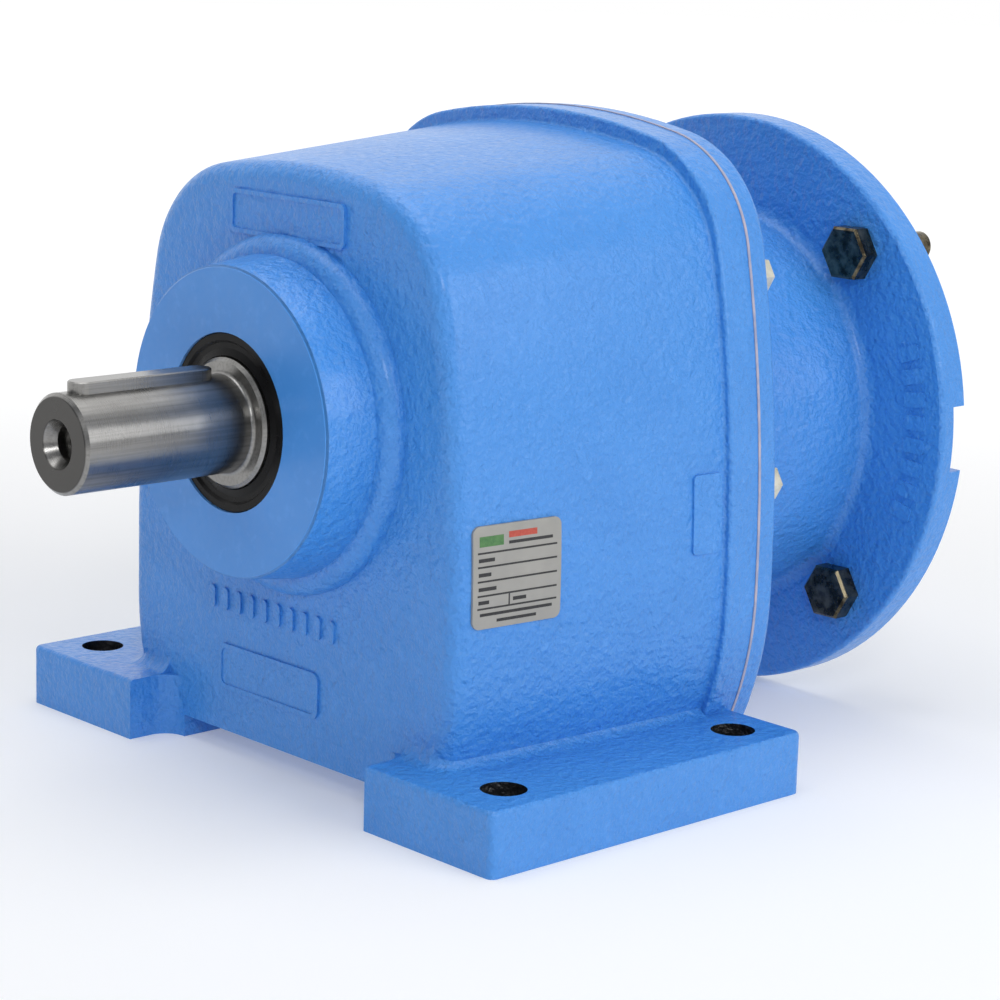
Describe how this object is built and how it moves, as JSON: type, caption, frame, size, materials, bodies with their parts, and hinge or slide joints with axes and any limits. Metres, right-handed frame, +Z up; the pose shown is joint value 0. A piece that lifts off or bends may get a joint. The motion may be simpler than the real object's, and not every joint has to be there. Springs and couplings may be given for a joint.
{
  "type": "helical gearbox",
  "caption": "Foot-mounted inline helical gearbox: a keyed output shaft in front, a case with a screwed cover, and a bell flange for a standard motor behind.",
  "frame": {"origin": "centre of the four foot holes, in the plane that the feet stand on", "axes": "+X from the output shaft to the motor flange, along all three shafts; +Z up"},
  "size_m": [0.3157, 0.23, 0.2066],
  "materials": {
    "blue_paint": "semi-gloss blue enamel over a cast surface",
    "gasket": "grey-pink sealing paper and sealant",
    "zinc_screws": "pale zinc plate",
    "bolt_steel": "dark yellow-passivated steel",
    "plug_steel": "zinc-plated",
    "copper": "soft copper",
    "nameplate": "satin, with printed rules",
    "seal_rubber": "oiled black nitrile",
    "ground_steel": "ground and oiled",
    "gear_steel": "case-hardened, ground teeth",
    "spring_steel": "phosphated",
    "bearing_steel": "polished",
    "brass_cage": "machined"
  },
  "bodies": {
    "housing": {"gear_case": "blue_paint", "input_cover": "blue_paint", "cover_gasket": "gasket", "cover_screws": "zinc_screws", "dowel_pins": "bearing_steel", "nameplate": "nameplate", "breather_plug": "plug_steel", "oil_plugs": "plug_steel", "plug_washers": "copper", "motor_bolts": "bolt_steel", "output_seal": "seal_rubber", "input_seal": "seal_rubber", "output_bore_ring": "spring_steel", "input_bore_ring": "spring_steel", "output_front_bearing_outer": "bearing_steel", "output_rear_bearing_outer": "bearing_steel", "intermediate_front_bearing_outer": "bearing_steel", "intermediate_rear_bearing_outer": "bearing_steel", "input_front_bearing_outer": "bearing_steel", "input_rear_bearing_outer": "bearing_steel"},
    "output_shaft_set": {"output_shaft": "ground_steel", "output_key": "ground_steel", "output_spacer": "spring_steel", "output_gear": "gear_steel", "output_gear_key": "spring_steel", "output_shaft_ring": "spring_steel", "output_front_bearing_inner": "bearing_steel", "output_rear_bearing_inner": "bearing_steel"},
    "intermediate_shaft_set": {"intermediate_shaft": "ground_steel", "intermediate_gear": "gear_steel", "intermediate_gear_key": "spring_steel", "intermediate_spacer": "spring_steel", "intermediate_front_bearing_inner": "bearing_steel", "intermediate_rear_bearing_inner": "bearing_steel"},
    "input_shaft_set": {"input_shaft": "ground_steel", "input_shaft_ring": "spring_steel", "input_front_bearing_inner": "bearing_steel", "input_rear_bearing_inner": "bearing_steel"},
    "output_front_ball_set": {"output_front_bearing_balls": "bearing_steel", "output_front_bearing_cage": "brass_cage"},
    "output_rear_ball_set": {"output_rear_bearing_balls": "bearing_steel", "output_rear_bearing_cage": "brass_cage"},
    "intermediate_front_ball_set": {"intermediate_front_bearing_balls": "bearing_steel", "intermediate_front_bearing_cage": "brass_cage"},
    "intermediate_rear_ball_set": {"intermediate_rear_bearing_balls": "bearing_steel", "intermediate_rear_bearing_cage": "brass_cage"},
    "input_front_ball_set": {"input_front_bearing_balls": "bearing_steel", "input_front_bearing_cage": "brass_cage"},
    "input_rear_ball_set": {"input_rear_bearing_balls": "bearing_steel", "input_rear_bearing_cage": "brass_cage"}
  },
  "joints": [
    {"name": "output_spin", "type": "hinge", "parent": "housing", "child": "output_shaft_set", "pos_m": [0, 0, 0.115], "axis": [1, 0, 0], "continuous": true},
    {"name": "intermediate_spin", "type": "hinge", "parent": "housing", "child": "intermediate_shaft_set", "pos_m": [0, 0, 0.056], "axis": [1, 0, 0], "continuous": true},
    {"name": "input_spin", "type": "hinge", "parent": "housing", "child": "input_shaft_set", "pos_m": [0, 0, 0.101], "axis": [1, 0, 0], "continuous": true},
    {"name": "output_front_cage_spin", "type": "hinge", "parent": "housing", "child": "output_front_ball_set", "pos_m": [0, 0, 0.115], "axis": [1, 0, 0], "continuous": true},
    {"name": "output_rear_cage_spin", "type": "hinge", "parent": "housing", "child": "output_rear_ball_set", "pos_m": [0, 0, 0.115], "axis": [1, 0, 0], "continuous": true},
    {"name": "intermediate_front_cage_spin", "type": "hinge", "parent": "housing", "child": "intermediate_front_ball_set", "pos_m": [0, 0, 0.056], "axis": [1, 0, 0], "continuous": true},
    {"name": "intermediate_rear_cage_spin", "type": "hinge", "parent": "housing", "child": "intermediate_rear_ball_set", "pos_m": [0, 0, 0.056], "axis": [1, 0, 0], "continuous": true},
    {"name": "input_front_cage_spin", "type": "hinge", "parent": "housing", "child": "input_front_ball_set", "pos_m": [0, 0, 0.101], "axis": [1, 0, 0], "continuous": true},
    {"name": "input_rear_cage_spin", "type": "hinge", "parent": "housing", "child": "input_rear_ball_set", "pos_m": [0, 0, 0.101], "axis": [1, 0, 0], "continuous": true}
  ],
  "couplings": [
    {"joint": "intermediate_spin", "follows": "output_spin", "ratio": -3.75},
    {"joint": "input_spin", "follows": "output_spin", "ratio": 11.471},
    {"joint": "output_front_cage_spin", "follows": "output_spin", "ratio": 0.42648},
    {"joint": "output_rear_cage_spin", "follows": "output_spin", "ratio": 0.42648},
    {"joint": "intermediate_front_cage_spin", "follows": "output_spin", "ratio": -1.4287},
    {"joint": "intermediate_rear_cage_spin", "follows": "output_spin", "ratio": -1.4287},
    {"joint": "input_front_cage_spin", "follows": "output_spin", "ratio": 4.5525},
    {"joint": "input_rear_cage_spin", "follows": "output_spin", "ratio": 4.7964}
  ]
}
